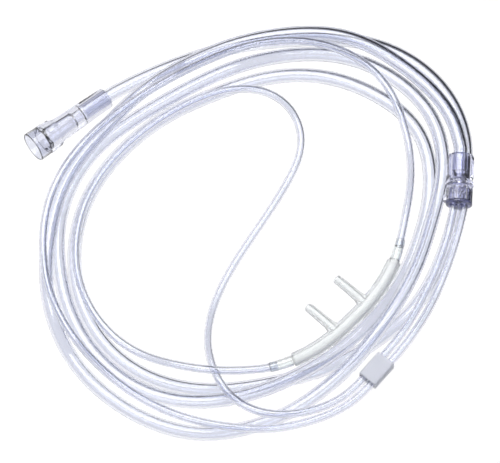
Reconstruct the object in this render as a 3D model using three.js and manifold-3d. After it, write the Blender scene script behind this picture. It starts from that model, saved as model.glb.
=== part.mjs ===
// Nasal oxygen cannula: a soft nose piece with two prongs, two thin head tubes that run through a slider into
// a connector, and one long supply tube that ends in a funnel connector. It lies loosely coiled on a floor.
// Millimetres, +Z up. X and Y are counted from the middle of the rigid fittings, Z from the floor.
import * as THREE from "three";
import Module from "manifold-3d";
import { mergeVertices } from "three/addons/utils/BufferGeometryUtils.js";

const wasm = await Module();
wasm.setup();

// Clearances: between touching pieces, and the share by which laid tubes stay further apart than their radii
const touchGap = 0.3;
const laidSpread = 1.12;

// Tubes: diameter, flat sides of the section, and steps along the whole length
const supplyDiameter = 5.0;
const headDiameter = 2.8;
const supplySides = 8;
const headSides = 8;
const supplySteps = 88;
const headSteps = 54;

// Laying of the tubes on the floor and on each other; the reaches are counted in lay steps
const layStep = 2.5;
const easeReach = 3;
const liftReach = 7;
const levelReaches = [4, 3];
const ownStretch = 60;
const layRounds = 12;
const arcDivisions = 40;
const heldAtSocket = 5;
const heldAtFitting = 9;
const heldAtSlider = 18;

// Straight stretches of tube in front of the fittings
const leadAtSocket = 4;
const leadAtBarrel = 7;
const leadAtPlug = 4;
const leadAtCuff = 5;

// How finely round pieces are cut
const turnedSides = 40;
const bodySides = 20;
const prongSides = 16;
const boreSides = 12;
const holeSides = 20;

// Middle of the fittings, in the coordinates of the route points
const middle = [-1.17, -4.18];

// Bores of the fittings, and the small bevel on their edges
const socketBore = supplyDiameter / 2 + touchGap;
const lumenRadius = 1.6;
const bevel = 0.15;

// Funnel connector, measured from its mouth
const funnelMouth = [-75.7, 29.8];
const funnelHeading = 37.6;
const funnelLength = 32.0;
const mouthRadius = 5.4;
const mouthBore = 4.3;
const mouthDepth = 4.6;
const shoulderBore = 3.5;
const shoulderDepth = 1.5;
const bandEnd = 6.4;
const gripRadius = 5.15;
const gripEnd = 9.2;
const neckRadius = 4.35;
const neckStart = 10.6;
const socketRadius = 3.75;
const passageBore = 2.8;
const passageNarrowBore = 2.4;
const stopStart = 17.6;
const stopEnd = 21.0;

// Y connector between the supply tube and the two head tubes, measured from the supply tube's end
const connectorTop = [71.9, 23.8];
const connectorHeading = -92.6;
const connectorHeight = 12.6;
const barrelLength = 9.2;
const barrelRadius = 4.7;
const barrelFloor = 0.6;
const barrelWaist = 4.1;
const barrelTaper = 1.0;
const ringLength = 1.8;
const ringRadius = 4.9;
const collarLength = 6.4;
const collarRadius = 4.6;
const collarWall = 0.9;
const collarFloor = 1.1;
const flutes = 12;
const fluteWidth = 0.7;
const fluteDepth = 0.25;
const fluteMargin = 0.8;
const lugLength = 2.6;
const lugStand = 1.1;
const lugWidth = 2.4;
const plugLength = 3.0;
const plugInset = 0.8;
const headPitch = 3.4;
const headBore = headDiameter / 2 + bevel;
const headBoreDepth = 1.6;

// Slider on the two head tubes
const sliderMiddle = [42.5, -54.2];
const sliderHeading = -130.2;
const sliderHeight = 11.6;
const sliderLength = 10.2;
const sliderWidth = 7.3;
const sliderThickness = 4.4;
const sliderPitch = 3.3;
const sliderCorner = 0.8;
const slotClearance = 0.24;
const slideStations = [-17, -6, 6, 17];
const cornerSteps = 6;

// Nose piece, in its own directions: along the lip, and towards the prongs' tips
const noseMiddle = [34.4, -36.3];
const noseHeading = 46.1;
const noseHeight = 13.8;
const noseHalf = 25.0;
const noseRise = 4.3;
const noseBend = 2.5;
const noseSteps = 28;
const bodyEndRadius = 2.5;
const bodyMidRadius = 2.7;
const bodyFlatness = 0.92;
const bodyLumen = 1.5;
const prongOffset = 7.1;
const prongReach = 14.6;
const prongDroop = 1.6;
const prongSteps = 12;
const prongTipRadius = 1.6;
const prongRootRadius = 1.9;
const prongFlareRadius = 3.4;
const prongFlareEnd = 4.9;
const prongLumen = 0.95;
const cuffLength = 8.0;
const cuffSteps = 6;
const cuffRootRadius = 1.85;
const cuffTipRadius = 1.65;
const cuffLumen = 0.9;

// How far a cutting shape sticks out past the solid that it cuts
const overshoot = 1.0;

// Points closer than this are one point
const weldDistance = 1e-4;

// Routes seen from above, in order from the funnel, and from the connector to the nose piece.
// The first two points of a head tube's route come before the slider.
const beforeSlider = 2;
const supplyRoute = [
  [-40, 55.5], [-22, 64], [-3.5, 69.5], [16, 71.5], [35.5, 71.5], [53.5, 65], [68, 51], [74.5, 32],
  [71.5, 11.5], [66, -8.5], [57, -27], [42.5, -40.5], [25.5, -50.5], [7, -55.5], [-12, -58.5], [-31.5, -55.5],
  [-48, -45], [-58.5, -28], [-61.5, -7.5], [-57, 12.5], [-45.5, 29.5], [-30.5, 42.5], [-13, 51], [5.5, 57.5],
  [25, 58], [43, 51], [58, 38], [62, 18.5], [58, -2], [50, -21], [37.5, -38.5], [22, -51],
  [4.5, -60], [-14.5, -64], [-33.5, -61], [-50, -50.5], [-61.5, -34], [-66.5, -14], [-66, 7.5], [-57.5, 26],
  [-43, 38.5], [-26.5, 49], [-9, 58.5], [9.5, 65], [29, 66], [47, 59], [61.5, 44], [66.5, 23.5],
  [62, 3], [56, -17], [46, -35], [34.5, -51], [19.5, -63], [2, -71], [-17, -74.5], [-35.5, -69.5],
  [-52, -58.5], [-64.5, -43], [-70.5, -25], [-70, -5], [-65, 15], [-53.5, 31.5], [-40.5, 46.5], [-24.5, 59],
  [-6.5, 67.5], [12.5, 71.5], [32, 71], [49, 62], [64, 47.5],
];
const leftRoute = [
  [65.5, -11.5], [58.5, -27.5],
  [25, -67.5], [9, -71], [-6.5, -65.5], [-15, -49], [-14, -28.5], [-6.5, -12], [3, 3],
  [12, 18], [18.5, 35], [11, 49], [-5.5, 52], [-21.5, 46.5], [-36, 37], [-48.5, 25], [-57.5, 10],
  [-61, -8], [-58, -25.5], [-48, -40], [-33.5, -49.5], [-17, -55], [-3, -55.2],
];
const rightRoute = [
  [68.5, -12], [62, -28.5],
  [29, -69.5], [13, -74], [-4, -73.5], [-21, -70.5], [-36.5, -64], [-50, -54], [-62, -41.5],
  [-69.5, -26.5], [-72, -8.5], [-69.5, 9], [-61, 24.5], [-49, 37], [-35, 47.5], [-20, 57], [-4.5, 65],
  [12, 68], [28.5, 66], [43.5, 58], [51.5, 42.5], [55, 25], [54, 8],
];

const degree = Math.PI / 180;
const largest = (values) => Math.max(...values);
const average = (values) => values.reduce((sum, value) => sum + value, 0) / values.length;
const along = (heading) => [Math.cos(heading * degree), Math.sin(heading * degree)];
const shifted = (point, heading, distance, aside = 0) => {
  const [c, s] = along(heading);
  return [point[0] + c * distance - s * aside, point[1] + s * distance + c * aside];
};

// Looks of the materials: colour, roughness
function look(colour, roughness, opacity) {
  return new THREE.MeshStandardMaterial({
    color: colour, roughness, metalness: 0, transparent: opacity < 1, opacity,
  });
}
const looks = {
  nose: () => look(0xe4ebec, 0.35, 0.85),
  tube: () => look(0xe6e8f4, 0.15, 0.5),
  clear: () => look(0xd9dbec, 0.12, 0.6),
  slider: () => look(0xc0c5d2, 0.3, 0.9),
  plug: () => look(0x8f90b4, 0.25, 0.9),
};

// Solids
function solidOf(geometry) {
  const bare = geometry.clone();
  bare.deleteAttribute("normal");
  bare.deleteAttribute("uv");
  const merged = mergeVertices(bare, weldDistance);
  const mesh = new wasm.Mesh({
    numProp: 3,
    vertProperties: new Float32Array(merged.attributes.position.array),
    triVerts: new Uint32Array(merged.index.array),
  });
  return new wasm.Manifold(mesh);
}

function geometryOf(solid) {
  const mesh = solid.getMesh();
  const geometry = new THREE.BufferGeometry();
  geometry.setAttribute("position", new THREE.BufferAttribute(new Float32Array(mesh.vertProperties), 3));
  geometry.setIndex(new THREE.BufferAttribute(new Uint32Array(mesh.triVerts), 1));
  geometry.computeVertexNormals();
  return geometry;
}

// A turned solid about its own X axis; the profile is a closed outline of [distance along the axis, radius]
function turned(profile, sides) {
  const points = profile.map(([distance, radius]) => new THREE.Vector2(radius, distance));
  points.push(points[0].clone());
  const geometry = new THREE.LatheGeometry(points, sides);
  geometry.rotateZ(-Math.PI / 2);
  geometry.scale(1, 1, -1);
  return outward(geometry);
}

// The same geometry with its faces pointing out
function outward(geometry) {
  const whole = geometry.index ? geometry.toNonIndexed() : geometry;
  const position = whole.attributes.position;
  let volume = 0;
  const a = new THREE.Vector3();
  const b = new THREE.Vector3();
  const c = new THREE.Vector3();
  for (let i = 0; i < position.count; i += 3) {
    a.fromBufferAttribute(position, i);
    b.fromBufferAttribute(position, i + 1);
    c.fromBufferAttribute(position, i + 2);
    volume += a.dot(b.cross(c));
  }
  if (volume < 0) {
    for (let i = 0; i < position.count; i += 3) {
      a.fromBufferAttribute(position, i);
      c.fromBufferAttribute(position, i + 2);
      position.setXYZ(i, c.x, c.y, c.z);
      position.setXYZ(i + 2, a.x, a.y, a.z);
    }
  }
  return whole;
}

// A tube along centre points, each with its half width across and its half height; the ends are flat
function swept(centres, widths, heights, sides) {
  const count = centres.length;
  const positions = [];
  const rings = centres.map((centre, i) => {
    const ahead = centres[Math.min(i + 1, count - 1)];
    const behind = centres[Math.max(i - 1, 0)];
    const forward = new THREE.Vector3().subVectors(ahead, behind).normalize();
    const across = new THREE.Vector3(0, 0, 1).cross(forward).normalize();
    const upward = new THREE.Vector3().crossVectors(forward, across);
    const ring = [];
    for (let k = 0; k < sides; k += 1) {
      const turn = (2 * Math.PI * k) / sides;
      ring.push(centre.clone()
        .addScaledVector(across, widths[i] * Math.cos(turn))
        .addScaledVector(upward, heights[i] * Math.sin(turn)));
    }
    return ring;
  });
  const face = (p, q, r) => [p, q, r].forEach((v) => positions.push(v.x, v.y, v.z));
  for (let i = 0; i + 1 < count; i += 1) {
    for (let k = 0; k < sides; k += 1) {
      const next = (k + 1) % sides;
      face(rings[i][k], rings[i][next], rings[i + 1][next]);
      face(rings[i][k], rings[i + 1][next], rings[i + 1][k]);
    }
  }
  for (let k = 1; k + 1 < sides; k += 1) {
    face(rings[0][0], rings[0][k + 1], rings[0][k]);
    face(rings[count - 1][0], rings[count - 1][k], rings[count - 1][k + 1]);
  }
  const geometry = new THREE.BufferGeometry();
  geometry.setAttribute("position", new THREE.Float32BufferAttribute(positions, 3));
  return outward(geometry);
}

// Nose piece in its own frame: X along the lip, Y towards the prongs' tips, Z up
const noseCurve = (x) => noseRise * (Math.abs(x) / noseHalf) ** noseBend;

function nosePoint(x) {
  return new THREE.Vector3(x, noseCurve(x), 0);
}

function noseWorld(geometry) {
  geometry.rotateZ(noseHeading * degree);
  geometry.translate(noseMiddle[0], noseMiddle[1], noseHeight);
  return geometry;
}

function buildNose() {
  const body = [];
  const lumen = [];
  const bodyWidths = [];
  for (let i = 0; i <= noseSteps; i += 1) {
    const share = (2 * i) / noseSteps - 1;
    body.push(nosePoint(noseHalf * share));
    lumen.push(nosePoint((noseHalf + overshoot) * share));
    bodyWidths.push(bodyMidRadius + (bodyEndRadius - bodyMidRadius) * share ** 2);
  }
  const bodyHeights = bodyWidths.map((width) => width * bodyFlatness);
  let solid = solidOf(swept(body, bodyWidths, bodyHeights, bodySides));
  const prongs = [-prongOffset, prongOffset].map((x) => prongPath(x));
  for (const prong of prongs) {
    solid = solid.add(solidOf(swept(prong.path, prong.outer, prong.outer, prongSides)));
  }
  solid = solid.subtract(solidOf(round(lumen, bodyLumen)));
  for (const prong of prongs) {
    solid = solid.subtract(solidOf(round(prong.bore, prongLumen)));
  }
  return noseWorld(geometryOf(solid));
}

// A round rod of one radius, to cut a bore with
function round(centres, radius) {
  const radii = centres.map(() => radius);
  return swept(centres, radii, radii, boreSides);
}

// One prong: centre points, outer radii that flare into the body, and the bore's centre points
function prongPath(x) {
  const start = noseCurve(x);
  const span = prongReach - start;
  const most = bodyMidRadius * bodyFlatness - bevel;
  const path = [];
  const outer = [];
  const bore = [];
  for (let i = 0; i <= prongSteps; i += 1) {
    const share = i / prongSteps;
    const above = span * share;
    const drop = prongDroop * share ** 2;
    const straight = prongRootRadius + (prongTipRadius - prongRootRadius) * share;
    const flare = Math.max(0, 1 - above / prongFlareEnd) ** 2 * (prongFlareRadius - prongRootRadius);
    path.push(new THREE.Vector3(x, start + above, -drop));
    outer.push(Math.min(straight + flare, most));
    bore.push(new THREE.Vector3(x, start + above + (i === prongSteps ? overshoot : 0), -drop));
  }
  return { path, outer, bore };
}

// A sleeve between the nose body's end and a head tube; side is -1 for the left one and +1 for the right one
function buildCuff(side) {
  const from = noseHalf + touchGap;
  const centres = [];
  const outer = [];
  const bore = [];
  for (let i = 0; i <= cuffSteps; i += 1) {
    const share = i / cuffSteps;
    const x = from + cuffSpan * share;
    const past = overshoot * (Number(i === cuffSteps) - Number(i === 0));
    centres.push(nosePoint(side * x));
    outer.push(cuffRootRadius + (cuffTipRadius - cuffRootRadius) * share);
    bore.push(nosePoint(side * (x + past)));
  }
  const sleeve = swept(centres, outer, outer, prongSides);
  return noseWorld(geometryOf(solidOf(sleeve).subtract(solidOf(round(bore, cuffLumen)))));
}

// The sleeve's length counted along the lip, and the point and direction where its head tube leaves it
const cuffSlope = (noseRise * noseBend / noseHalf) * (1 + cuffLength / 2 / noseHalf) ** (noseBend - 1);
const cuffSpan = cuffLength / Math.hypot(1, cuffSlope);

function cuffExit(side, distance) {
  const x = side * (noseHalf + touchGap + cuffSpan);
  const slope = (noseRise * noseBend / noseHalf) * (Math.abs(x) / noseHalf) ** (noseBend - 1);
  const length = Math.hypot(1, slope);
  const local = [x + (side * distance) / length, noseCurve(x) + (slope * distance) / length];
  return shifted(noseMiddle, noseHeading, local[0], local[1]);
}

// Funnel connector: it lies on the edge of its band and on its socket's rim
const funnelTilt = Math.atan2(mouthRadius - socketRadius, funnelLength - bevel - bandEnd);
const mouthHeight = bandEnd * Math.sin(funnelTilt) + mouthRadius * Math.cos(funnelTilt);

function buildFunnel() {
  const shoulderEnd = mouthDepth + shoulderDepth;
  const profile = [
    [0, mouthBore + bevel], [bevel, mouthBore], [mouthDepth, mouthBore],
    [mouthDepth + bevel, shoulderBore], [shoulderEnd, shoulderBore], [shoulderEnd + bevel, passageBore],
    [stopStart - bevel, passageNarrowBore], [stopStart, lumenRadius], [stopEnd, lumenRadius],
    [stopEnd + bevel, socketBore], [funnelLength, socketBore], [funnelLength, socketRadius - bevel],
    [funnelLength - bevel, socketRadius], [neckStart, neckRadius], [gripEnd, gripRadius],
    [bandEnd + bevel, mouthRadius - bevel], [bandEnd, mouthRadius], [mouthDepth + bevel, mouthRadius],
    [mouthDepth, mouthRadius - bevel], [bevel, mouthRadius], [0, mouthRadius - bevel],
  ];
  const geometry = turned(profile, turnedSides);
  geometry.rotateY(funnelTilt);
  geometry.rotateZ(funnelHeading * degree);
  geometry.translate(funnelMouth[0], funnelMouth[1], mouthHeight);
  return geometry;
}

const socketHeight = mouthHeight - funnelLength * Math.sin(funnelTilt);
const socketFace = shifted(funnelMouth, funnelHeading, funnelLength * Math.cos(funnelTilt));

// Connector, in its own frame: X from the supply tube's end towards the head tubes
function connectorWorld(geometry) {
  geometry.rotateZ(connectorHeading * degree);
  geometry.translate(connectorTop[0], connectorTop[1], connectorHeight);
  return geometry;
}

const ringStart = barrelLength + touchGap;
const collarStart = ringStart + ringLength + touchGap;
const collarBore = collarRadius - collarWall;
const connectorLength = collarStart + collarLength;

function buildBarrel() {
  const floor = barrelLength - barrelFloor;
  const profile = [
    [bevel, socketBore], [floor, socketBore], [floor + bevel, lumenRadius], [barrelLength, lumenRadius],
    [barrelLength, barrelWaist - bevel], [barrelLength - bevel, barrelWaist],
    [barrelLength - barrelTaper, barrelRadius], [bevel, barrelRadius], [0, barrelRadius - bevel],
    [0, socketBore + bevel],
  ];
  return connectorWorld(turned(profile, turnedSides));
}

function buildRing() {
  const end = ringStart + ringLength;
  const profile = [
    [ringStart, lumenRadius], [end, lumenRadius], [end, ringRadius - bevel],
    [end - bevel, ringRadius], [ringStart + bevel, ringRadius], [ringStart, ringRadius - bevel],
  ];
  return connectorWorld(turned(profile, turnedSides));
}

function buildCollar() {
  const floor = collarStart + collarFloor;
  const profile = [
    [collarStart, lumenRadius], [floor - bevel, lumenRadius], [floor, collarBore],
    [connectorLength, collarBore], [connectorLength, collarRadius - bevel],
    [connectorLength - bevel, collarRadius], [collarStart + bevel, collarRadius],
    [collarStart, collarRadius - bevel],
  ];
  let solid = solidOf(turned(profile, turnedSides));
  const cutLength = collarLength - 2 * fluteMargin;
  for (let i = 0; i < flutes; i += 1) {
    const cut = new THREE.BoxGeometry(cutLength, 2 * fluteDepth, fluteWidth);
    cut.translate(collarStart + fluteMargin + cutLength / 2, collarRadius, 0);
    cut.rotateX((2 * Math.PI * (i + 0.5)) / flutes);
    solid = solid.subtract(solidOf(cut));
  }
  const lugHeight = lugStand + collarWall / 2;
  const lug = new THREE.BoxGeometry(lugLength, lugHeight, lugWidth);
  lug.translate(connectorLength - bevel - lugLength / 2, lugHeight / 2 - collarRadius - lugStand, 0);
  return connectorWorld(geometryOf(solid.add(solidOf(lug))));
}

function buildPlug() {
  const end = connectorLength - plugInset;
  const start = end - plugLength;
  const radius = collarBore - touchGap;
  const profile = [
    [start, 0], [start, radius - bevel], [start + bevel, radius], [end - bevel, radius],
    [end, radius - bevel], [end, 0],
  ];
  let solid = solidOf(turned(profile, turnedSides));
  for (const side of [-1, 1]) {
    const floor = end - headBoreDepth;
    const top = end + overshoot;
    const hole = turned([[floor, 0], [floor, headBore], [top, headBore], [top, 0]], holeSides);
    hole.translate(0, (side * headPitch) / 2, 0);
    solid = solid.subtract(solidOf(hole));
  }
  return connectorWorld(geometryOf(solid));
}

const connectorEnd = (distance, aside) => shifted(connectorTop, connectorHeading, distance, aside);

// Slider: a rounded block with one long hole that both head tubes run through
function roundedOutline(width, height, corner) {
  const shape = new THREE.Shape();
  const x = width / 2;
  const y = height / 2;
  shape.moveTo(-x + corner, -y);
  shape.lineTo(x - corner, -y);
  shape.absarc(x - corner, -y + corner, corner, -Math.PI / 2, 0, false);
  shape.lineTo(x, y - corner);
  shape.absarc(x - corner, y - corner, corner, 0, Math.PI / 2, false);
  shape.lineTo(-x + corner, y);
  shape.absarc(-x + corner, y - corner, corner, Math.PI / 2, Math.PI, false);
  shape.lineTo(-x, -y + corner);
  shape.absarc(-x + corner, -y + corner, corner, Math.PI, 1.5 * Math.PI, false);
  return shape;
}

function buildSlider() {
  const slotHeight = headDiameter + 2 * slotClearance;
  const block = extruded(roundedOutline(sliderWidth, sliderThickness, sliderCorner), sliderLength);
  const slot = extruded(
    roundedOutline(sliderPitch + slotHeight, slotHeight, (slotHeight - slotClearance) / 2),
    sliderLength + 2 * overshoot,
  );
  const geometry = geometryOf(solidOf(block).subtract(solidOf(slot)));
  geometry.rotateX(Math.PI / 2);
  geometry.rotateZ((sliderHeading - 90) * degree);
  geometry.translate(sliderMiddle[0], sliderMiddle[1], sliderHeight);
  return geometry;
}

// An outline drawn out to a length, with its middle at the origin
function extruded(outline, length) {
  const geometry = new THREE.ExtrudeGeometry(outline, {
    depth: length, bevelEnabled: false, curveSegments: cornerSteps, steps: 1,
  });
  return geometry.translate(0, 0, -length / 2);
}

// Routes: a smooth curve through hand-chosen points, cut into even short pieces
function evenPoints(points, step) {
  const corners = points.map(([x, y]) => new THREE.Vector3(x, y, 0));
  const curve = new THREE.CatmullRomCurve3(corners, false, "centripetal");
  curve.arcLengthDivisions = points.length * arcDivisions;
  const count = Math.round(curve.getLength() / step);
  return eased(eased(curve.getSpacedPoints(count).map((p) => [p.x, p.y])));
}

// Every point moved to the middle of its neighbours; the ends stay where they are
function eased(points) {
  return points.map((_, i) => {
    const side = Math.min(i, points.length - 1 - i, easeReach);
    const near = points.slice(i - side, i + side + 1);
    return [average(near.map(([x]) => x)), average(near.map(([, y]) => y))];
  });
}

function slidePoints(aside) {
  return slideStations.map((distance) => shifted(sliderMiddle, sliderHeading, distance, aside));
}

function headPoints(route, aside, side) {
  return [
    connectorEnd(connectorLength - plugInset + touchGap, aside),
    connectorEnd(connectorLength + leadAtPlug, aside),
    ...route.slice(0, beforeSlider),
    ...slidePoints(aside * sliderPitch / headPitch),
    ...route.slice(beforeSlider),
    cuffExit(side, leadAtCuff),
    cuffExit(side, touchGap),
  ];
}

const heldHeadTube = {
  first: [connectorHeight, heldAtFitting],
  last: [noseHeight, heldAtFitting],
  slider: [sliderHeight, heldAtSlider],
};
const strands = [
  {
    radius: supplyDiameter / 2,
    points: evenPoints([
      shifted(socketFace, funnelHeading, touchGap),
      shifted(socketFace, funnelHeading, leadAtSocket),
      ...supplyRoute,
      shifted(connectorTop, connectorHeading, -leadAtBarrel),
      shifted(connectorTop, connectorHeading, -touchGap),
    ], layStep),
    held: { first: [socketHeight, heldAtSocket], last: [connectorHeight, heldAtFitting] },
  },
  {
    radius: headDiameter / 2,
    points: evenPoints(headPoints(leftRoute, -headPitch / 2, -1), layStep),
    held: heldHeadTube,
  },
  {
    radius: headDiameter / 2,
    points: evenPoints(headPoints(rightRoute, headPitch / 2, 1), layStep),
    held: heldHeadTube,
  },
];

const windowed = (values, pick, reach) => values.map((_, i) => (
  pick(values.slice(Math.max(0, i - reach), i + reach + 1))
));

// The least height of one point of a tube: on the floor, or level with the fitting it enters
function leastHeight({ radius, points, held: { first, last, slider } }, i) {
  const beyond = (points.length - 1 - i) * layStep;
  const away = Math.hypot(points[i][0] - sliderMiddle[0], points[i][1] - sliderMiddle[1]);
  return Math.max(
    radius,
    i * layStep < first[1] ? first[0] : 0,
    beyond < last[1] ? last[0] : 0,
    slider && away < slider[1] ? slider[0] : 0,
  );
}

// Heights: each tube lies on the floor or over whatever was laid before it
function layHeights() {
  const samples = strands.flatMap((strand, index) => strand.points.map((point, i) => ({
    point, index, place: i * layStep, radius: strand.radius, low: leastHeight(strand, i), height: strand.radius,
  })));
  const supports = samples.map((sample, i) => samples.slice(0, i).flatMap((other) => {
    const reach = (sample.radius + other.radius) * laidSpread;
    const distance = Math.hypot(sample.point[0] - other.point[0], sample.point[1] - other.point[1]);
    const own = other.index === sample.index && sample.place - other.place < ownStretch;
    return distance < reach && !own ? [{ other, lift: Math.sqrt(reach ** 2 - distance ** 2) }] : [];
  }));
  for (let round = 0; round < layRounds; round += 1) {
    const needed = samples.map((sample, i) => (
      Math.max(sample.low, ...supports[i].map(({ other, lift }) => other.height + lift))
    ));
    let start = 0;
    for (const strand of strands) {
      const count = strand.points.length;
      const raised = windowed(needed.slice(start, start + count), largest, liftReach);
      const heights = levelReaches.reduce((values, reach) => windowed(values, average, reach), raised);
      heights.forEach((height, i) => {
        samples[start + i].height = height;
      });
      start += count;
    }
  }
  return strands.map((_, index) => samples.filter((sample) => sample.index === index)
    .map((sample) => new THREE.Vector3(sample.point[0], sample.point[1], sample.height)));
}

function buildTube(centres, radius, sides, steps) {
  const path = new THREE.CatmullRomCurve3(centres, false, "centripetal");
  path.arcLengthDivisions = centres.length * 2;
  const shape = new THREE.Shape();
  for (let k = 0; k < sides; k += 1) {
    const turn = (2 * Math.PI * (k + 0.5)) / sides;
    const x = radius * Math.cos(turn);
    const y = radius * Math.sin(turn);
    if (k === 0) shape.moveTo(x, y);
    else shape.lineTo(x, y);
  }
  shape.closePath();
  const geometry = new THREE.ExtrudeGeometry(shape, { steps, bevelEnabled: false, extrudePath: path });
  return outward(geometry);
}

const routes = layHeights();
const parts = {
  nose_piece: [buildNose(), looks.nose()],
  left_cuff: [buildCuff(-1), looks.clear()],
  right_cuff: [buildCuff(1), looks.clear()],
  left_head_tube: [buildTube(routes[1], strands[1].radius, headSides, headSteps), looks.tube()],
  right_head_tube: [buildTube(routes[2], strands[2].radius, headSides, headSteps), looks.tube()],
  slider: [buildSlider(), looks.slider()],
  connector_barrel: [buildBarrel(), looks.clear()],
  connector_ring: [buildRing(), looks.clear()],
  connector_collar: [buildCollar(), looks.clear()],
  connector_plug: [buildPlug(), looks.plug()],
  supply_tube: [buildTube(routes[0], strands[0].radius, supplySides, supplySteps), looks.tube()],
  funnel_connector: [buildFunnel(), looks.clear()],
};

const cannula = new THREE.Group();
cannula.name = "nasal_oxygen_cannula";
for (const [name, [geometry, material]] of Object.entries(parts)) {
  geometry.translate(-middle[0], -middle[1], 0);
  geometry.computeVertexNormals();
  const mesh = new THREE.Mesh(geometry, material);
  mesh.name = name;
  cannula.add(mesh);
}

export default cannula;
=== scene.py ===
# %% [markdown]
# # Nasal oxygen cannula
# A clear tube lies loosely coiled on a glass table over a pale floor, with a soft nose piece, a slider, a Y
# connector and a funnel connector on it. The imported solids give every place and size. Here each piece gets
# its real surface and finish.

import bpy
import numpy as np
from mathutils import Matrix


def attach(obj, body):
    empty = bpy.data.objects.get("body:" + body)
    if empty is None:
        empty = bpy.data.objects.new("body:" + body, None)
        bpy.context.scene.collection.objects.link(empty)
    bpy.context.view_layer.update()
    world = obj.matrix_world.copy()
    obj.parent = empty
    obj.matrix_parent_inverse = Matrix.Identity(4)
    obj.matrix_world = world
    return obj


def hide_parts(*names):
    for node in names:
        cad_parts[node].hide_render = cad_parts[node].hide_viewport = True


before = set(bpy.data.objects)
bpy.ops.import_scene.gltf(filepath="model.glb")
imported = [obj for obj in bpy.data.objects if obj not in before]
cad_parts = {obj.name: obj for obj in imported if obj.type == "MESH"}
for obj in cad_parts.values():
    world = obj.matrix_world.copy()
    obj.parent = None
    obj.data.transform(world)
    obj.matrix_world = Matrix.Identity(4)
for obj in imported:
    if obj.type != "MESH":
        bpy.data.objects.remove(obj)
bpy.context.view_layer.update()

mm = 0.001
scene = bpy.context.scene
print("solids:", sorted(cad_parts))

# %% [markdown]
# ## Camera
# The photograph looks down from the front, 69 degrees above the table, through a long lens. One millimetre
# in the middle of the coil is 2.9 of its pixels, so the lens follows from the distance. A long distance
# keeps the upper turns from growing over the lower ones.

# %% Camera
photo_size = np.array([500.0, 463.0])
pixels_per_mm = 2.9
elevation = np.radians(69.0)
camera_distance = 2.6
aim = np.array([0.48, 5.1, 0.0]) * mm
frame_width = photo_size[0] / pixels_per_mm * mm

camera_data = bpy.data.cameras.new("camera")
camera_data.sensor_width = 36.0
camera_data.lens = camera_data.sensor_width * camera_distance / frame_width
camera_data.clip_end = 20.0
camera = bpy.data.objects.new("camera", camera_data)
camera.location = aim + camera_distance * np.array([0.0, -np.cos(elevation), np.sin(elevation)])
camera.rotation_euler = (np.pi / 2 - elevation, 0.0, 0.0)
scene.collection.objects.link(camera)
scene.camera = camera
print(f"lens {camera_data.lens:.0f} mm at {camera_distance} m")

# %% [markdown]
# ## Routes of the tubes
# The tubes are cords: each has one fixed length and lies where it fell. The points below are read from
# above, in the order in which the tube was laid, first from the funnel connector round three and a third
# turns to the Y connector, then the two thin head tubes from the Y connector through the slider to the nose
# piece. A curve that goes through every point with even speed (a centripetal Catmull-Rom spline) joins
# them.

# %% Route points and places of the fittings
supply_diameter, supply_bore = 5.0 * mm, 3.2 * mm
head_diameter, head_bore = 2.8 * mm, 1.7 * mm
touch_gap = 0.3 * mm
laid_spread = 1.12
lay_step = 2.5 * mm

middle = np.array([-1.17, -4.18]) * mm
funnel_mouth, funnel_heading, funnel_length = np.array([-75.7, 29.8]) * mm, 37.6, 32.0 * mm
mouth_radius, socket_radius, band_end, funnel_bevel = 5.4 * mm, 3.75 * mm, 6.4 * mm, 0.15 * mm
connector_top, connector_heading, connector_height = np.array([71.9, 23.8]) * mm, -92.6, 12.6 * mm
connector_length, plug_inset, head_pitch = 18.0 * mm, 0.8 * mm, 3.4 * mm
slider_middle, slider_heading, slider_height = np.array([42.5, -54.2]) * mm, -130.2, 11.6 * mm
slider_pitch, slide_stations = 3.3 * mm, (-17, -6, 6, 17)
nose_middle, nose_heading, nose_height = np.array([34.4, -36.3]) * mm, 46.1, 13.8 * mm
nose_half, nose_rise, nose_bend = 25.0 * mm, 4.3 * mm, 2.5
cuff_length = 8.0 * mm

supply_points = np.array([
    [-40, 55.5], [-22, 64], [-3.5, 69.5], [16, 71.5], [35.5, 71.5], [53.5, 65], [68, 51], [74.5, 32],
    [71.5, 11.5], [66, -8.5], [57, -27], [42.5, -40.5], [25.5, -50.5], [7, -55.5], [-12, -58.5], [-31.5, -55.5],
    [-48, -45], [-58.5, -28], [-61.5, -7.5], [-57, 12.5], [-45.5, 29.5], [-30.5, 42.5], [-13, 51], [5.5, 57.5],
    [25, 58], [43, 51], [58, 38], [62, 18.5], [58, -2], [50, -21], [37.5, -38.5], [22, -51],
    [4.5, -60], [-14.5, -64], [-33.5, -61], [-50, -50.5], [-61.5, -34], [-66.5, -14], [-66, 7.5], [-57.5, 26],
    [-43, 38.5], [-26.5, 49], [-9, 58.5], [9.5, 65], [29, 66], [47, 59], [61.5, 44], [66.5, 23.5],
    [62, 3], [56, -17], [46, -35], [34.5, -51], [19.5, -63], [2, -71], [-17, -74.5], [-35.5, -69.5],
    [-52, -58.5], [-64.5, -43], [-70.5, -25], [-70, -5], [-65, 15], [-53.5, 31.5], [-40.5, 46.5], [-24.5, 59],
    [-6.5, 67.5], [12.5, 71.5], [32, 71], [49, 62], [64, 47.5],
]) * mm
left_points = np.array([
    [65.5, -11.5], [58.5, -27.5],
    [25, -67.5], [9, -71], [-6.5, -65.5], [-15, -49], [-14, -28.5], [-6.5, -12], [3, 3],
    [12, 18], [18.5, 35], [11, 49], [-5.5, 52], [-21.5, 46.5], [-36, 37], [-48.5, 25], [-57.5, 10],
    [-61, -8], [-58, -25.5], [-48, -40], [-33.5, -49.5], [-17, -55], [-3, -55.2],
]) * mm
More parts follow.
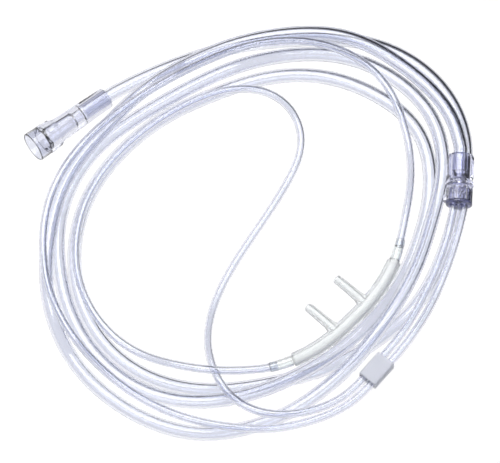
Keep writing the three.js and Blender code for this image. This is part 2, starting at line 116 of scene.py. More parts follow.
right_points = np.array([
    [68.5, -12], [62, -28.5],
    [29, -69.5], [13, -74], [-4, -73.5], [-21, -70.5], [-36.5, -64], [-50, -54], [-62, -41.5],
    [-69.5, -26.5], [-72, -8.5], [-69.5, 9], [-61, 24.5], [-49, 37], [-35, 47.5], [-20, 57], [-4.5, 65],
    [12, 68], [28.5, 66], [43.5, 58], [51.5, 42.5], [55, 25], [54, 8],
]) * mm
before_slider = 2


def along(heading):
    """The direction of a heading in degrees, counted from X towards Y."""
    return np.array([np.cos(np.radians(heading)), np.sin(np.radians(heading))])


def shifted(point, heading, distance, aside=0.0):
    """A point moved along a heading, and to its left by aside."""
    forward = along(heading)
    return point + forward * distance + np.array([-forward[1], forward[0]]) * aside


def nose_curve(x):
    """How far the nose piece's middle line has bent towards the prongs at x: rise * (|x| / half) ** bend."""
    return nose_rise * (np.abs(x) / nose_half) ** nose_bend


def nose_slope(x):
    """The slope of the middle line at |x|: the derivative of its bend."""
    return nose_rise * nose_bend / nose_half * (np.abs(x) / nose_half) ** (nose_bend - 1)


cuff_span = cuff_length / np.hypot(1.0, nose_slope(nose_half + cuff_length / 2))


def cuff_exit(side, distance):
    """The point where a head tube leaves its cuff, and points further out along the same line."""
    x = nose_half + touch_gap + cuff_span
    slope = nose_slope(x)
    length = np.hypot(1.0, slope)
    local = np.array([side * (x + distance / length), nose_curve(x) + slope * distance / length])
    return shifted(nose_middle, nose_heading, local[0], local[1])


# %% [markdown]
# ## Laying the tubes
# Seen from above the routes are fixed, so only the heights are open. Every tube lies on the table or on
# whatever was laid before it. Where two centre lines come closer than the two radii and a little air allow,
# the later one is lifted by the missing height. A stiff tube can't follow that step at once, so each lift
# is widened along the tube and then averaged. A few rounds settle the pile.


# %% Spline, easing and heights
def spline(points, step):
    """Even points on the centripetal Catmull-Rom curve through the given ones, about a step apart."""
    first, last = 2 * points[0] - points[1], 2 * points[-1] - points[-2]
    padded = np.vstack([first, points, last])
    p0, p1, p2, p3 = padded[:-3], padded[1:-2], padded[2:-1], padded[3:]
    d0, d1, d2 = (np.linalg.norm(b - a, axis=1)[:, None] ** 0.5 for a, b in ((p0, p1), (p1, p2), (p2, p3)))
    start = ((p1 - p0) / d0 - (p2 - p0) / (d0 + d1) + (p2 - p1) / d1) * d1
    end = ((p2 - p1) / d1 - (p3 - p1) / (d1 + d2) + (p3 - p2) / d2) * d1
    t = np.linspace(0.0, 1.0, 41)[:-1][None, :, None]
    p1, p2, start, end = (a[:, None, :] for a in (p1, p2, start, end))
    dense = (p1 + start * t + (-3 * p1 + 3 * p2 - 2 * start - end) * t ** 2
             + (2 * p1 - 2 * p2 + start + end) * t ** 3)
    return evened(np.vstack([dense.reshape(-1, points.shape[1]), points[-1:]]), step)


def evened(line, step):
    """The same line cut into equal lengths of about a step."""
    places = np.concatenate([[0.0], np.cumsum(np.linalg.norm(np.diff(line, axis=0), axis=1))])
    count = int(round(places[-1] / step))
    wanted = np.linspace(0.0, places[-1], count + 1)
    return np.column_stack([np.interp(wanted, places, column) for column in line.T])


def eased(points, reach=3):
    """Every point moved to the mean of its neighbours within reach; the ends stay where they are."""
    index = np.arange(len(points))
    side = np.minimum(np.minimum(index, index[::-1]), reach)
    sums = np.vstack([np.zeros(points.shape[1]), np.cumsum(points, axis=0)])
    return (sums[index + side + 1] - sums[index - side]) / (2 * side + 1)[:, None]


def flat_route(points):
    """The eased curve of one tube seen from above."""
    return eased(eased(spline(points, lay_step)))


def windowed(values, reach, pick):
    """pick (np.nanmax or np.nanmean) over the values within reach of each place."""
    padded = np.pad(values, reach, constant_values=np.nan)
    return pick(np.lib.stride_tricks.sliding_window_view(padded, 2 * reach + 1), axis=1)


def head_route(points, aside, side):
    """From the Y connector's plug, straight through the slider, to the cuff on one side of the nose piece."""
    through = [shifted(slider_middle, slider_heading, d * mm, aside * slider_pitch / head_pitch)
               for d in slide_stations]
    return flat_route(np.vstack([
        shifted(connector_top, connector_heading, connector_length - plug_inset + touch_gap, aside),
        shifted(connector_top, connector_heading, connector_length + 4 * mm, aside),
        points[:before_slider], through, points[before_slider:],
        cuff_exit(side, 5 * mm), cuff_exit(side, touch_gap),
    ]))


funnel_tilt = np.arctan2(mouth_radius - socket_radius, funnel_length - funnel_bevel - band_end)
mouth_height = band_end * np.sin(funnel_tilt) + mouth_radius * np.cos(funnel_tilt)
socket_height = mouth_height - funnel_length * np.sin(funnel_tilt)
socket_face = shifted(funnel_mouth, funnel_heading, funnel_length * np.cos(funnel_tilt))
supply_flat = flat_route(np.vstack([
    shifted(socket_face, funnel_heading, touch_gap),
    shifted(socket_face, funnel_heading, 4 * mm),
    supply_points,
    shifted(connector_top, connector_heading, -7 * mm),
    shifted(connector_top, connector_heading, -touch_gap),
]))
flat_routes = [
    supply_flat,
    head_route(left_points, -head_pitch / 2, -1),
    head_route(right_points, head_pitch / 2, 1),
]
radii = [supply_diameter / 2, head_diameter / 2, head_diameter / 2]


def least_heights(points, radius, first, last, at_slider=None):
    """The lowest each point may be: on the table, or level with the fitting that the tube enters."""
    index = np.arange(len(points))
    low = np.full(len(points), radius)
    low = np.where(index * lay_step < first[1], np.maximum(low, first[0]), low)
    low = np.where(index[::-1] * lay_step < last[1], np.maximum(low, last[0]), low)
    if at_slider:
        away = np.linalg.norm(points - slider_middle, axis=1)
        low = np.where(away < at_slider[1], np.maximum(low, at_slider[0]), low)
    return low


def lay(flats, tube_radii, lows, rounds=12):
    """Heights of all tubes: need = max(least, height below + sqrt(reach ** 2 - distance ** 2)), smoothed."""
    places = np.vstack(flats)
    strand = np.concatenate([np.full(len(f), k) for k, f in enumerate(flats)])
    place = np.concatenate([np.arange(len(f)) * lay_step for f in flats])
    radius = np.concatenate([np.full(len(f), r) for f, r in zip(flats, tube_radii)])
    low = np.concatenate(lows)
    reach = (radius[:, None] + radius[None, :]) * laid_spread
    distance = np.linalg.norm(places[:, None] - places[None, :], axis=2)
    near = (strand[:, None] == strand[None, :]) & (np.abs(place[:, None] - place[None, :]) < 60 * mm)
    below = np.tril(np.ones_like(near), -1) & ~near & (distance < reach)
    lift = np.sqrt(np.maximum(reach ** 2 - distance ** 2, 0.0))
    height = radius.copy()
    for _ in range(rounds):
        need = np.maximum(low, np.where(below, height[None, :] + lift, 0.0).max(axis=1))
        for k in range(len(flats)):
            own = strand == k
            raised = windowed(need[own], 7, np.nanmax)
            height[own] = windowed(windowed(raised, 4, np.nanmean), 3, np.nanmean)
    return [np.column_stack([f - middle, height[strand == k]]) for k, f in enumerate(flats)]


level_at_connector, level_at_nose = (connector_height, 9 * mm), (nose_height, 9 * mm)
lows = [least_heights(flat_routes[0], radii[0], (socket_height, 5 * mm), level_at_connector)]
for route, radius in zip(flat_routes[1:], radii[1:]):
    lows.append(least_heights(route, radius, level_at_connector, level_at_nose, (slider_height, 18 * mm)))
supply_line, left_line, right_line = lay(flat_routes, radii, lows)
for name, line in (("supply", supply_line), ("left", left_line), ("right", right_line)):
    length = np.linalg.norm(np.diff(line, axis=0), axis=1).sum()
    lowest, highest = line[:, 2].min() * 1000, line[:, 2].max() * 1000
    print(f"{name} tube {length * 1000:.1f} mm, heights {lowest:.2f} to {highest:.2f} mm")

# %% [markdown]
# ## Surfaces
# Almost every piece here is round about a line, hollow and open at its ends. Such a wall is one grid of
# points that closes on itself both ways: one parameter turns about the line, the other runs out along the
# outside, over the rim and back along the bore. So the wall has a real thickness, which clear plastic needs
# to bend light.


# %% Grids, turned walls and swept tubes
def outward(points, faces):
    """The faces, turned round if the volume they close, the sum of a . (b x c) / 6, is negative."""
    a, b, c, d = (points[faces[:, k]] for k in range(4))
    volume = (a * np.cross(b, c)).sum() + (a * np.cross(c, d)).sum()
    return points, faces if volume > 0 else faces[:, ::-1]


def closed_grid(rows):
    """Quads of a grid of points, rows by places in a row, that closes on itself both ways."""
    count, around = rows.shape[:2]
    index = np.arange(count * around).reshape(count, around)
    ahead = np.roll(index, -1, axis=0)
    faces = np.stack([index, np.roll(index, -1, axis=1), np.roll(ahead, -1, axis=1), ahead], axis=-1)
    return outward(rows.reshape(-1, 3), faces.reshape(-1, 4))


def frames_of(line):
    """Forward, across (level) and up at each point of a line that never stands upright."""
    forward = np.gradient(line, axis=0)
    forward /= np.linalg.norm(forward, axis=1)[:, None]
    across = np.cross([0.0, 0.0, 1.0], forward)
    across /= np.linalg.norm(across, axis=1)[:, None]
    return forward, across, np.cross(forward, across)


def rings(line, radius, sides, flatness=1.0):
    """Circles about a line: point = line + radius * (cos v * across + flatness * sin v * up)."""
    _, across, up = frames_of(line)
    v = np.linspace(0.0, 2 * np.pi, sides, endpoint=False)[None, :, None]
    radius, flatness = (np.broadcast_to(value, len(line))[:, None, None] for value in (radius, flatness))
    return line[:, None] + radius * (np.cos(v) * across[:, None] + flatness * np.sin(v) * up[:, None])


def hollow_tube(line, outer, inner, sides=32, flatness=1.0):
    """A wall between two radii along a line: out on the outer rings, back on the inner ones."""
    outside, inside = (rings(line, radius, sides, flatness) for radius in (outer, inner))
    return closed_grid(np.concatenate([outside, inside[::-1]]))


def rounded(profile, size=0.3, steps=4):
    """A closed profile with each corner replaced by a curve between two points at most size away from it."""
    corner = np.asarray(profile, float)
    before, after = np.roll(corner, 1, axis=0) - corner, np.roll(corner, -1, axis=0) - corner
    long_before, long_after = (np.linalg.norm(v, axis=1)[:, None] for v in (before, after))
    start = corner + before / long_before * np.minimum(size, long_before * 0.4)
    end = corner + after / long_after * np.minimum(size, long_after * 0.4)
    t = np.linspace(0.0, 1.0, steps)[None, :, None]
    curve = start[:, None] * (1 - t) ** 2 + corner[:, None] * 2 * t * (1 - t) + end[:, None] * t ** 2
    return curve.reshape(-1, 2)


def turned(profile, sides=96):
    """A closed profile of (place along the axis, radius) in millimetres, turned about X."""
    place, radius = (np.asarray(profile) * mm).T
    v = np.linspace(0.0, 2 * np.pi, sides, endpoint=False)[None, :]
    rows = np.stack([np.broadcast_to(place[:, None], (len(place), sides)),
                     radius[:, None] * np.cos(v), radius[:, None] * np.sin(v)], axis=-1)
    return closed_grid(rows)


def turn_matrix(heading, tilt=0.0):
    """Turns X down by tilt (radians) about Y, and then by heading (degrees) about Z."""
    c, s, ct, st = np.cos(np.radians(heading)), np.sin(np.radians(heading)), np.cos(tilt), np.sin(tilt)
    return np.array([[c, -s, 0], [s, c, 0], [0, 0, 1]]) @ np.array([[ct, 0, st], [0, 1, 0], [-st, 0, ct]])


def placed(surface, spot, heading, height, tilt=0.0):
    """A surface made about the origin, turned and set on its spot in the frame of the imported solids."""
    points, faces = surface
    return points @ turn_matrix(heading, tilt).T + np.array([*(spot - middle), height]), faces


def mesh_of(name, surface, sharp=35.0):
    """A Blender mesh of a surface, smooth but for edges that turn more than sharp degrees."""
    points, faces = surface
    mesh = bpy.data.meshes.new(name)
    mesh.from_pydata(points.tolist(), [], [list(map(int, face)) for face in faces])
    mesh.update()
    mesh.polygons.foreach_set("use_smooth", np.ones(len(mesh.polygons), bool))
    mesh.set_sharp_from_angle(angle=np.radians(sharp))
    return mesh


def add_piece(name, surface, material, slot, body="cannula", replaced=(), sharp=35.0):
    """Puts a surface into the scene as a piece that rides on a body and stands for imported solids."""
    mesh = surface if isinstance(surface, bpy.types.Mesh) else mesh_of(name, surface, sharp)
    piece = bpy.data.objects.new(name, mesh)
    scene.collection.objects.link(piece)
    mesh.materials.clear()
    mesh.materials.append(material)
    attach(piece, body)
    if replaced:
        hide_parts(*replaced)
    size = np.ptp(np.array([v.co for v in mesh.vertices]), axis=0) * 1000
    print(f"{name}: {len(mesh.polygons)} faces, {size[0]:.1f} x {size[1]:.1f} x {size[2]:.1f} mm")
    return piece


# %% [markdown]
# ## Finishes
# The tubes and fittings are clear vinyl. Clear plastic shows itself by its edges, where it bends light from
# the darker surroundings, by soft highlights and by a faint violet-blue tint where much of it lies
# together. The nose piece is milky and soft, and the slider is a greyer, hazier block. No moulded or drawn
# surface is perfectly even, so one node group gives them all a slight change of colour and gloss and a very
# shallow waviness.


# %% Shared node group and materials
def moulded_group():
    """A group that turns object coordinates into a slightly varied colour, a roughness and a wavy normal."""
    group = bpy.data.node_groups.new("moulded surface", "ShaderNodeTree")
    white = (1, 1, 1, 1)
    for title, kind, default in (("Colour", "Color", white), ("Shade", "Color", white),
                                 ("Scale", "Float", 300.0), ("Roughness", "Float", 0.05),
                                 ("Roughness spread", "Float", 0.03), ("Wave height", "Float", 0.05)):
        socket = group.interface.new_socket(title, in_out="INPUT", socket_type="NodeSocket" + kind)
        socket.default_value = default
    for title, kind in (("Colour", "Color"), ("Roughness", "Float"), ("Normal", "Vector")):
        group.interface.new_socket(title, in_out="OUTPUT", socket_type="NodeSocket" + kind)
    nodes, link = group.nodes, group.links.new
    given, out = nodes.new("NodeGroupInput"), nodes.new("NodeGroupOutput")
    place = nodes.new("ShaderNodeTexCoord")
    noise = nodes.new("ShaderNodeTexNoise")
    noise.inputs["Detail"].default_value = 3.0
    link(place.outputs["Object"], noise.inputs["Vector"])
    link(given.outputs["Scale"], noise.inputs["Scale"])
    mix = nodes.new("ShaderNodeMix")
    mix.data_type = "RGBA"
    link(noise.outputs["Fac"], mix.inputs["Factor"])
    link(given.outputs["Colour"], mix.inputs[6])
    link(given.outputs["Shade"], mix.inputs[7])
    spread = nodes.new("ShaderNodeMath")
    spread.operation = "MULTIPLY_ADD"
    link(noise.outputs["Fac"], spread.inputs[0])
    link(given.outputs["Roughness spread"], spread.inputs[1])
    link(given.outputs["Roughness"], spread.inputs[2])
    bump = nodes.new("ShaderNodeBump")
    bump.inputs["Distance"].default_value = 0.0002
    link(noise.outputs["Fac"], bump.inputs["Height"])
    link(given.outputs["Wave height"], bump.inputs["Strength"])
    link(mix.outputs[2], out.inputs["Colour"])
    link(spread.outputs[0], out.inputs["Roughness"])
    link(bump.outputs["Normal"], out.inputs["Normal"])
    return group


moulded = moulded_group()


def plastic(name, colour, shade, scale, roughness, spread, waves, transmission=1.0, ior=1.53):
    """A plastic whose colour wanders between colour and shade; transmission and ior stay on the shader."""
    material = bpy.data.materials.new(name)
    material.use_nodes = True
    nodes, link = material.node_tree.nodes, material.node_tree.links.new
    shader = nodes["Principled BSDF"]
    surface = nodes.new("ShaderNodeGroup")
    surface.node_tree = moulded
    surface.inputs["Colour"].default_value = (*colour, 1.0)
    surface.inputs["Shade"].default_value = (*shade, 1.0)
    for title, value in (("Scale", scale), ("Roughness", roughness),
                         ("Roughness spread", spread), ("Wave height", waves)):
        surface.inputs[title].default_value = value
    link(surface.outputs["Colour"], shader.inputs["Base Color"])
    link(surface.outputs["Roughness"], shader.inputs["Roughness"])
    link(surface.outputs["Normal"], shader.inputs["Normal"])
    shader.inputs["Transmission Weight"].default_value = transmission
    shader.inputs["IOR"].default_value = ior
    return material


clear_tube = plastic(
    "clear vinyl tube", (0.835, 0.848, 0.9), (0.8, 0.815, 0.88),
    scale=60.0, roughness=0.0, spread=0.01, waves=0.0)
clear_fitting = plastic(
    "clear moulded vinyl", (0.79, 0.8, 0.87), (0.73, 0.745, 0.83),
    scale=120.0, roughness=0.01, spread=0.02, waves=0.02)
soft_nose = plastic(
    "milky soft vinyl", (0.945, 0.96, 0.962), (0.92, 0.94, 0.943),
    scale=150.0, roughness=0.22, spread=0.08, waves=0.04,
    transmission=0.8, ior=1.45)
hazy_slider = plastic(
    "hazy grey-blue vinyl", (0.815, 0.83, 0.885), (0.775, 0.795, 0.86),
    scale=120.0, roughness=0.35, spread=0.05, waves=0.0, transmission=0.6, ior=1.35)
clear_cuff = plastic(
    "clear soft cuff", (0.88, 0.9, 0.9), (0.85, 0.87, 0.875),
    scale=120.0, roughness=0.03, spread=0.02, waves=0.02)
clear_connector = plastic(
    "clear lavender vinyl", (0.74, 0.745, 0.87), (0.68, 0.69, 0.83),
    scale=120.0, roughness=0.01, spread=0.02, waves=0.02)
# The plug's dark violet is painted shade: it stands for the shade in the recess at the collar's end.
plug_painted_recess_shade = plastic(
    "violet vinyl with painted recess shade", (0.3, 0.31, 0.5), (0.22, 0.23, 0.42),
    scale=200.0, roughness=0.1, spread=0.05, waves=0.02, transmission=0.8, ior=1.5)
print("materials:", [m.name for m in bpy.data.materials])

# %% [markdown]
# ## The tubes
# A medical tube is drawn through a die, so its wall is the same all along. Each one here reaches a little
# way into its fittings, as the real one does, and carries the line that it was laid along.


# %% Supply tube and head tubes
def reaching(line, before, after):
    """A line with a straight stretch added at each end, so that the tube goes into its fittings."""
    start, end = line[0] - line[1], line[-1] - line[-2]
    start, end = start / np.linalg.norm(start), end / np.linalg.norm(end)
    head = line[0] + start * np.linspace(before, 0.0, 4)[:-1, None]
    tail = line[-1] + end * np.linspace(0.0, after, 4)[1:, None]
    return np.vstack([head, line, tail])


def free_tube(name, line, diameter, bore, node, sides):
    """A hollow tube along its laid line, standing in for an imported solid."""
    wall = hollow_tube(line, diameter / 2, bore / 2, sides)
    piece = add_piece(name, wall, clear_tube, "clear_tube", replaced=[node])
    return piece


supply_path = reaching(supply_line, 10.0 * mm, 6.4 * mm)[::-1]
left_path = reaching(left_line, 1.2 * mm, 3.0 * mm)
right_path = reaching(right_line, 1.2 * mm, 3.0 * mm)
free_tube("supply_tube_clear", supply_path, supply_diameter, supply_bore,
          "supply_tube", 64)
free_tube("left_head_tube_clear", left_path, head_diameter, head_bore,
          "left_head_tube", 48)
free_tube("right_head_tube_clear", right_path, head_diameter, head_bore,
          "right_head_tube", 48)

# %% [markdown]
# ## Funnel connector
# One clear moulding. Its wide mouth goes over an outlet's nipple and has a thick shoulder inside, behind it
# a collar runs down to a long tapering neck, and at the far end a socket holds the supply tube against a
# narrow stop. All of that is one closed outline turned about the axis.

# %% Funnel connector
funnel_outline = rounded([
    (0.0, 4.95), (0.25, 4.85), (4.4, 4.7), (5.7, 3.1), (6.4, 2.85), (17.0, 2.35), (17.6, 1.7), (20.8, 1.7),
    (21.0, 2.53), (32.0, 2.58), (32.0, 3.45), (31.7, 3.75), (10.9, 4.25), (10.5, 4.45), (9.2, 5.1), (6.6, 5.2),
    (6.4, 5.38), (4.8, 5.38), (4.6, 5.22), (0.3, 5.36), (0.0, 5.2),
], size=0.22, steps=4)
add_piece("funnel_connector_clear", placed(turned(funnel_outline, 128), funnel_mouth, funnel_heading,
                                           mouth_height, funnel_tilt),
          clear_fitting, "clear_fitting", replaced=["funnel_connector"], sharp=50.0)

# %% [markdown]
# ## Y connector
# The supply tube goes into a clear barrel. Below it a narrow groove, a ring, and a fluted collar with a
# small lug follow on the same axis. The flutes are shallow grooves along the collar, so its radius is the
# outline's radius less a small depth where a flute runs. A plug closes the collar's open end, and the two
# head tubes go through its holes. Its dark violet colour is painted shade for the recess at the collar's end.

# %% Y connector
barrel_outline = rounded([
    (0.3, 2.58), (8.5, 2.53), (8.6, 1.6), (9.2, 1.6), (9.2, 4.0), (8.9, 4.1), (8.2, 4.65), (7.8, 4.78),
    (0.5, 4.68), (0.1, 4.5), (0.0, 4.2), (0.0, 2.9),
], size=0.3)
ring_outline = rounded([(9.5, 1.6), (11.3, 1.6), (11.3, 4.6), (11.0, 4.88), (9.9, 4.88), (9.5, 4.5)], size=0.3)


def connector_piece(name, surface, material, slot, node, **extra):
    """Sets a turned piece on the Y connector's axis."""
    shape = placed(surface, connector_top, connector_heading, connector_height)
    return add_piece(name, shape, material, slot, replaced=[node], **extra)


connector_piece("connector_barrel_clear", turned(barrel_outline, 96), clear_connector, "clear_fitting",
                "connector_barrel")
connector_piece("connector_ring_clear", turned(ring_outline, 96), clear_connector, "clear_fitting",
                "connector_ring")

collar_places = np.arange(17.0, 12.3, -0.15)
collar_outline = rounded([
    (11.6, 1.6), (12.6, 1.6), (12.7, 3.7), (17.2, 3.7), (17.2, 4.5),
    *zip(collar_places, np.interp(collar_places, [12.2, 18.0], [4.64, 4.56])), (12.2, 4.62), (11.6, 4.3),
], size=0.25)


def fluted_collar(outline, count=12, depth=0.26, width=0.35, lug_stand=1.1, lug_half=0.3, sides=288):
    """The outline turned about X; outer radius = outline radius - depth * flute + stand * lug, soft windows."""
    points, faces = turned(outline, sides)
    place, y, z = points.T
    place = place / mm
    radius, v = np.hypot(y, z) / mm, np.arctan2(z, y)
    flute = np.clip(1.5 - np.abs((v * count / (2 * np.pi) + 0.5) % 1.0 - 0.5) / (0.5 * width) * 1.5, 0.0, 1.0)
    flute *= np.clip((place - 12.6) / 0.3, 0.0, 1.0) * np.clip((17.0 - place) / 0.3, 0.0, 1.0)
    lug = np.clip((lug_half - (np.pi - np.abs(v))) / 0.06, 0.0, 1.0)
    lug *= np.clip((place - 14.8) / 0.3, 0.0, 1.0) * np.clip((17.1 - place) / 0.2, 0.0, 1.0)
    cut = np.where(radius > 4.35, radius - depth * flute * (1 - lug) + lug_stand * lug, radius) * mm
    return np.column_stack([place * mm, cut * np.cos(v), cut * np.sin(v)]), faces


connector_piece("connector_collar_clear", fluted_collar(collar_outline), clear_connector, "clear_fitting",
                "connector_collar", sharp=25.0)


def rod(line, radius, sides=32, flatness=1.0):
    """A solid rod along a line, with a flat face at each end."""
    points = rings(line, radius, sides, flatness).reshape(-1, 3)
    index = np.arange(len(points)).reshape(-1, sides)
    near, far = index[:-1], index[1:]
    quads = np.stack([near, np.roll(near, -1, axis=1), np.roll(far, -1, axis=1), far], axis=-1)
    return points, [*quads.reshape(-1, 4).tolist(), index[0, ::-1].tolist(), index[-1].tolist()]


def joined(*surfaces):
    """Several surfaces as one list of points and faces."""
    starts = np.cumsum([0] + [len(points) for points, _ in surfaces])
    faces = []
    for (_, own), start in zip(surfaces, starts):
        faces += [[corner + int(start) for corner in face] for face in own]
    return np.vstack([points for points, _ in surfaces]), faces


def shaped(name, surface, *cutters, voxel=None, smoothing=0):
    """A surface, first melted into one skin if a voxel size is given, less each cutter by an exact Boolean."""
    piece = bpy.data.objects.new(name, mesh_of(name, surface))
    scene.collection.objects.link(piece)
    if voxel:
        melt = piece.modifiers.new("melt", "REMESH")
        melt.mode, melt.voxel_size = "VOXEL", voxel
        soften = piece.modifiers.new("soften", "SMOOTH")
        soften.factor, soften.iterations = 0.5, smoothing
    knives = []
    for number, cutter in enumerate(cutters):
        knife = bpy.data.objects.new(f"{name}_cutter_{number}", mesh_of(f"{name}_cutter_{number}", cutter))
        scene.collection.objects.link(knife)
        cut = piece.modifiers.new(f"cut {number}", "BOOLEAN")
        cut.operation, cut.solver, cut.object = "DIFFERENCE", "EXACT", knife
        knives.append(knife)
    bpy.context.view_layer.update()
    result = bpy.data.meshes.new_from_object(piece.evaluated_get(bpy.context.evaluated_depsgraph_get()))
    result.polygons.foreach_set("use_smooth", np.ones(len(result.polygons), bool))
    result.set_sharp_from_angle(angle=np.radians(40.0))
    for spent in (piece, *knives):
        bpy.data.objects.remove(spent)
    return result


def straight(start, end, aside=0.0, count=2):
    """Points in millimetres along X, moved aside."""
    return np.column_stack([np.linspace(start, end, count), np.full(count, aside), np.zeros(count)]) * mm


plug_line = straight(17.25, 18.05, count=17)
plug_edge = np.minimum(plug_line[:, 0] - plug_line[0, 0], plug_line[-1, 0] - plug_line[:, 0]) / mm
plug_body = rod(plug_line, (4.56 - 0.2 * np.clip(1 - plug_edge / 0.2, 0.0, 1.0) ** 2) * mm, 96)
plug_holes = [rod(straight(16.0, 19.0, side * 1.7), 1.44 * mm, 32) for side in (-1, 1)]
plug_parts = [placed(part, connector_top, connector_heading, connector_height)
              for part in (plug_body, *plug_holes)]
# The plug carries the dark violet of the painted recess shade.
add_piece("connector_plug_painted_shade", shaped("plug", *plug_parts), plug_painted_recess_shade, "tinted_plug",
          replaced=["connector_plug"])

# %% [markdown]
# ## Slider
# The slider is a short extruded block with soft edges. Both head tubes pass through one long hole. A
# rounded section is written as a point on a small circle plus a push towards the corner, so the block and
# its hole share a formula, and the grid runs out along the block, over its end and back along the hole.


# %% Slider
def rounded_section(v, half_width, half_height, corner, sharpness=8.0):
    """y = (width - corner) * push(cos v) + corner * cos v, z likewise with sin v; push is cut off at 1."""
    along_y, along_z = np.cos(v), np.sin(v)
    push_y, push_z = np.clip(sharpness * along_y, -1.0, 1.0), np.clip(sharpness * along_z, -1.0, 1.0)
    return (half_width - corner) * push_y + corner * along_y, (half_height - corner) * push_z + corner * along_z


def slider_surface(half_length=5.1, half_width=3.65, half_height=2.2, corner=0.85, hole=1.64, around=160):
    """Rows of the section along X: the block with rounded ends, then the hole with a slightly opened end."""
    v = np.linspace(0.0, 2 * np.pi, around, endpoint=False)
    round_end = np.radians(np.linspace(0.0, 90.0, 7))
    rows = []
    for sign, turns in ((-1, round_end), (1, round_end[::-1])):
        for turn in turns:
            inset = 0.4 * (1 - np.sin(turn))
            place = sign * (half_length - 0.4 * (1 - np.cos(turn)))
            y, z = rounded_section(v, half_width - inset, half_height - inset, corner)
            rows.append(np.column_stack([np.full(around, place), y, z]))
    deep = half_length - 0.3
    for place, radius in ((half_length, hole + 0.12), (deep, hole), (-deep, hole), (-half_length, hole + 0.12)):
        y, z = rounded_section(v, slider_pitch / 2 / mm + radius, radius, radius)
        rows.append(np.column_stack([np.full(around, place), y, z]))
    return closed_grid(np.array(rows) * mm)


add_piece("slider_hazy", placed(slider_surface(), slider_middle, slider_heading, slider_height),
          hazy_slider, "tinted_slider", body="slider", replaced=["slider"])

# %% [markdown]
# ## Nose piece
# A soft milky tube, bent a little towards the face, carries two hollow prongs that droop at their tips. It
# is dipped or moulded in one, so the prongs must flow into the body. Rods for the body and the prongs,
# whose roots flare, are melted into one skin of small voxels and smoothed, and the bores are cut out
# afterwards so that their edges stay crisp. The two clear cuffs sleeve the body's ends onto the head tubes.


# %% Nose piece
def nose_line(start, end, count):
    """Points on the nose piece's middle line, from start to end along the lip."""
    x = np.linspace(start, end, count)
    return np.column_stack([x, nose_curve(x), np.zeros(count)])


def on_nose(surface):
    """Sets a surface made about the nose piece's middle in its place."""
    return placed(surface, nose_middle, nose_heading, nose_height)


def prong(x, reach=14.6 * mm, droop=1.6 * mm, beyond=0.0, count=48):
    """A prong's middle line, drooping as the square of the share travelled, and that share."""
    share = np.linspace(0.0, 1.0 + beyond, count)
    start = nose_curve(x)
    return np.column_stack([np.full(count, x), start + (reach - start) * share, -droop * share ** 2]), share


def soft_end(distance, size):
    """How much a quarter circle of this size takes off the radius at a distance from the end."""
    inside = np.clip(1 - distance / size, 0.0, 1.0)
    return size * (1 - np.sqrt(1 - inside ** 2))


body_line = nose_line(-nose_half, nose_half, 161)
body_share = body_line[:, 0] / nose_half
body_radius = (2.7 - 0.2 * body_share ** 2) * mm - soft_end(nose_half - np.abs(body_line[:, 0]), 0.5 * mm)
solid_rods = [rod(body_line, body_radius, 48, flatness=0.92)]
bores = [rod(nose_line(-nose_half - 1 * mm, nose_half + 1 * mm, 121), 1.55 * mm, 32)]
prong_aside, prong_length, flare_length = 7.1 * mm, 12.8, 5.2
for side in (-1, 1):
    line, share = prong(side * prong_aside)
    travelled = share * prong_length
    flared = np.clip(travelled / flare_length, 0.0, 1.0)
    radius = 1.9 - 0.3 * share + 2.6 * (1 - flared) ** 3
    flatness = np.minimum(1.0, (2.3 - 0.45 * flared) / radius)
    radius = radius * mm - soft_end((prong_length - travelled) * mm, 0.45 * mm)
    solid_rods.append(rod(line, radius, 40, flatness))
    line, share = prong(side * prong_aside, beyond=0.06)
    bores.append(rod(line, (0.98 + 0.25 * np.clip((share - 0.93) / 0.07, 0.0, 1.0) ** 2) * mm, 32))
nose_mesh = shaped("nose", on_nose(joined(*solid_rods)), *[on_nose(bore) for bore in bores],
                   voxel=0.22 * mm, smoothing=8)
add_piece("nose_piece_soft", nose_mesh, soft_nose, "soft_nose_piece", replaced=["nose_piece"])

for side, name in ((-1, "left_cuff"), (1, "right_cuff")):
    reach = np.linspace(nose_half + touch_gap, nose_half + touch_gap + cuff_span, 41)
    line = nose_line(side * reach[0], side * reach[-1], 41)
    travelled = np.abs(line[:, 0]) - reach[0]
    radius = 1.85 * mm - 0.2 * mm * travelled / cuff_span
    radius -= soft_end(cuff_span - travelled, 0.15 * mm) + soft_end(travelled, 0.15 * mm)
    add_piece(name + "_clear", on_nose(hollow_tube(line, radius, 1.42 * mm, 40)), clear_cuff, "clear_fitting",
              replaced=[name])

# %% [markdown]
# ## Floor and light
# Clear tubes are drawn by what they bend into view, so the set is a glass table over a plain pale floor
# that glows a little. What is seen straight through a tube is then white. Its sides bend the view past the
# floor's edge into darker surroundings, which leaves the thin dark lines, and the floor reaches less far to
# the right and to the back, so the lines on a tube's right and far sides are the darkest. The glass is only
# a faint reflection.


# %% Floor, glass table, lamp and surroundings
def flat_sheet(name, low, high, height, heading=0.0):
    """A level rectangle between two corners in its own directions; gives its material's nodes."""
    corners = np.array([[low[0], low[1]], [high[0], low[1]], [high[0], high[1]], [low[0], high[1]]])
    corners = corners @ turn_matrix(heading)[:2, :2].T
    mesh = bpy.data.meshes.new(name)
    mesh.from_pydata(np.column_stack([corners, np.full(4, height)]).tolist(), [], [[0, 1, 2, 3]])
    sheet = bpy.data.objects.new(name, mesh)
    scene.collection.objects.link(sheet)
    material = bpy.data.materials.new(name)
    material.use_nodes = True
    mesh.materials.append(material)
    return material.node_tree


floor_tree = flat_sheet("pale_floor", (-0.5, -0.5), (0.185, 0.5), -0.15, heading=45.0)
floor_shader = floor_tree.nodes["Principled BSDF"]
floor_shader.inputs["Base Color"].default_value = (0.3, 0.3, 0.3, 1.0)
floor_shader.inputs["Emission Color"].default_value = (1.0, 1.0, 1.0, 1.0)
floor_shader.inputs["Emission Strength"].default_value = 0.68

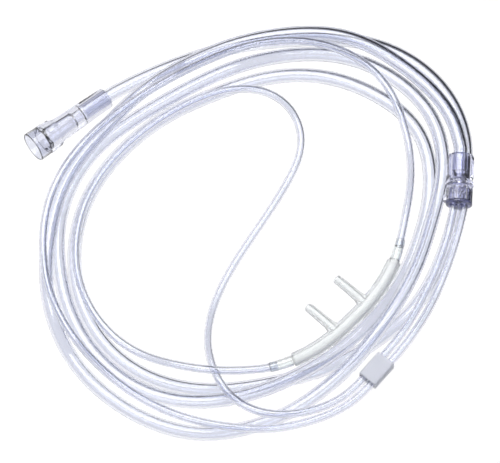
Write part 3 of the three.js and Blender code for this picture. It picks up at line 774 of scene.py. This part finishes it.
glass_tree = flat_sheet("glass_table", (-2.0, -2.0), (2.0, 2.0), -0.0004)
glass_nodes = glass_tree.nodes
glass_nodes.remove(glass_nodes["Principled BSDF"])
see_through, sheen = glass_nodes.new("ShaderNodeBsdfTransparent"), glass_nodes.new("ShaderNodeBsdfGlossy")
sheen.inputs["Roughness"].default_value = 0.05
bounce, blend = glass_nodes.new("ShaderNodeFresnel"), glass_nodes.new("ShaderNodeMixShader")
bounce.inputs["IOR"].default_value = 1.2
glass_tree.links.new(bounce.outputs[0], blend.inputs[0])
glass_tree.links.new(see_through.outputs[0], blend.inputs[1])
glass_tree.links.new(sheen.outputs[0], blend.inputs[2])
glass_tree.links.new(blend.outputs[0], glass_nodes["Material Output"].inputs["Surface"])


def soft_light(name, spot, towards, size, power):
    """A square area light of a size in metres, aimed from its spot at a point."""
    data = bpy.data.lights.new(name, "AREA")
    data.size, data.energy = size, power
    lamp = bpy.data.objects.new(name, data)
    scene.collection.objects.link(lamp)
    lamp.location = spot
    away = np.array(spot) - np.array(towards)
    away = away / np.linalg.norm(away)
    lamp.rotation_euler = (np.arccos(away[2]), 0.0, np.arctan2(away[1], away[0]) + np.pi / 2)
    return lamp


soft_light("soft_box", (-0.12, 0.18, 0.6), (0.0, 0.0, 0.0), 0.55, 4.5)


def mapped(nodes, link, value, low, high):
    """A smooth rise from 0 to 1 while the value goes from low to high."""
    node = nodes.new("ShaderNodeMapRange")
    node.interpolation_type = "SMOOTHSTEP"
    node.inputs["From Min"].default_value, node.inputs["From Max"].default_value = low, high
    link(value, node.inputs["Value"])
    return node.outputs["Result"]


def blended(nodes, link, share, first, second):
    """A mix of two colours, or outputs of nodes, by a share."""
    node = nodes.new("ShaderNodeMix")
    node.data_type = "RGBA"
    link(share, node.inputs["Factor"])
    for socket, colour in ((node.inputs[6], first), (node.inputs[7], second)):
        if isinstance(colour, tuple):
            socket.default_value = (*colour, 1.0)
        else:
            link(colour, socket)
    return node.outputs[2]


def surroundings():
    """A world that is white to the eye; bent rays see a sky above, and darkness to the right and back."""
    world = bpy.data.worlds.new("surroundings")
    world.use_nodes = True
    nodes, link = world.node_tree.nodes, world.node_tree.links.new
    place, split = nodes.new("ShaderNodeTexCoord"), nodes.new("ShaderNodeSeparateXYZ")
    link(place.outputs["Generated"], split.inputs[0])
    side = nodes.new("ShaderNodeVectorMath")
    side.operation = "DOT_PRODUCT"
    side.inputs[1].default_value = (0.7071, 0.7071, 0.0)
    link(place.outputs["Generated"], side.inputs[0])
    to_dark = mapped(nodes, link, side.outputs["Value"], 0.0, 0.8)
    horizon = blended(nodes, link, to_dark, (0.55, 0.55, 0.6), (0.01, 0.01, 0.02))
    to_sky = mapped(nodes, link, split.outputs["Z"], 0.2, 0.6)
    above = blended(nodes, link, to_sky, horizon, (0.65, 0.65, 0.67))
    straight_view = nodes.new("ShaderNodeLightPath").outputs["Is Camera Ray"]
    link(blended(nodes, link, straight_view, above, (1.0, 1.0, 1.0)), nodes["Background"].inputs["Color"])
    return world


scene.world = surroundings()
scene.view_settings.view_transform = "Standard"
scene.cycles.max_bounces = 40
scene.cycles.transmission_bounces = 40
scene.cycles.transparent_max_bounces = 40
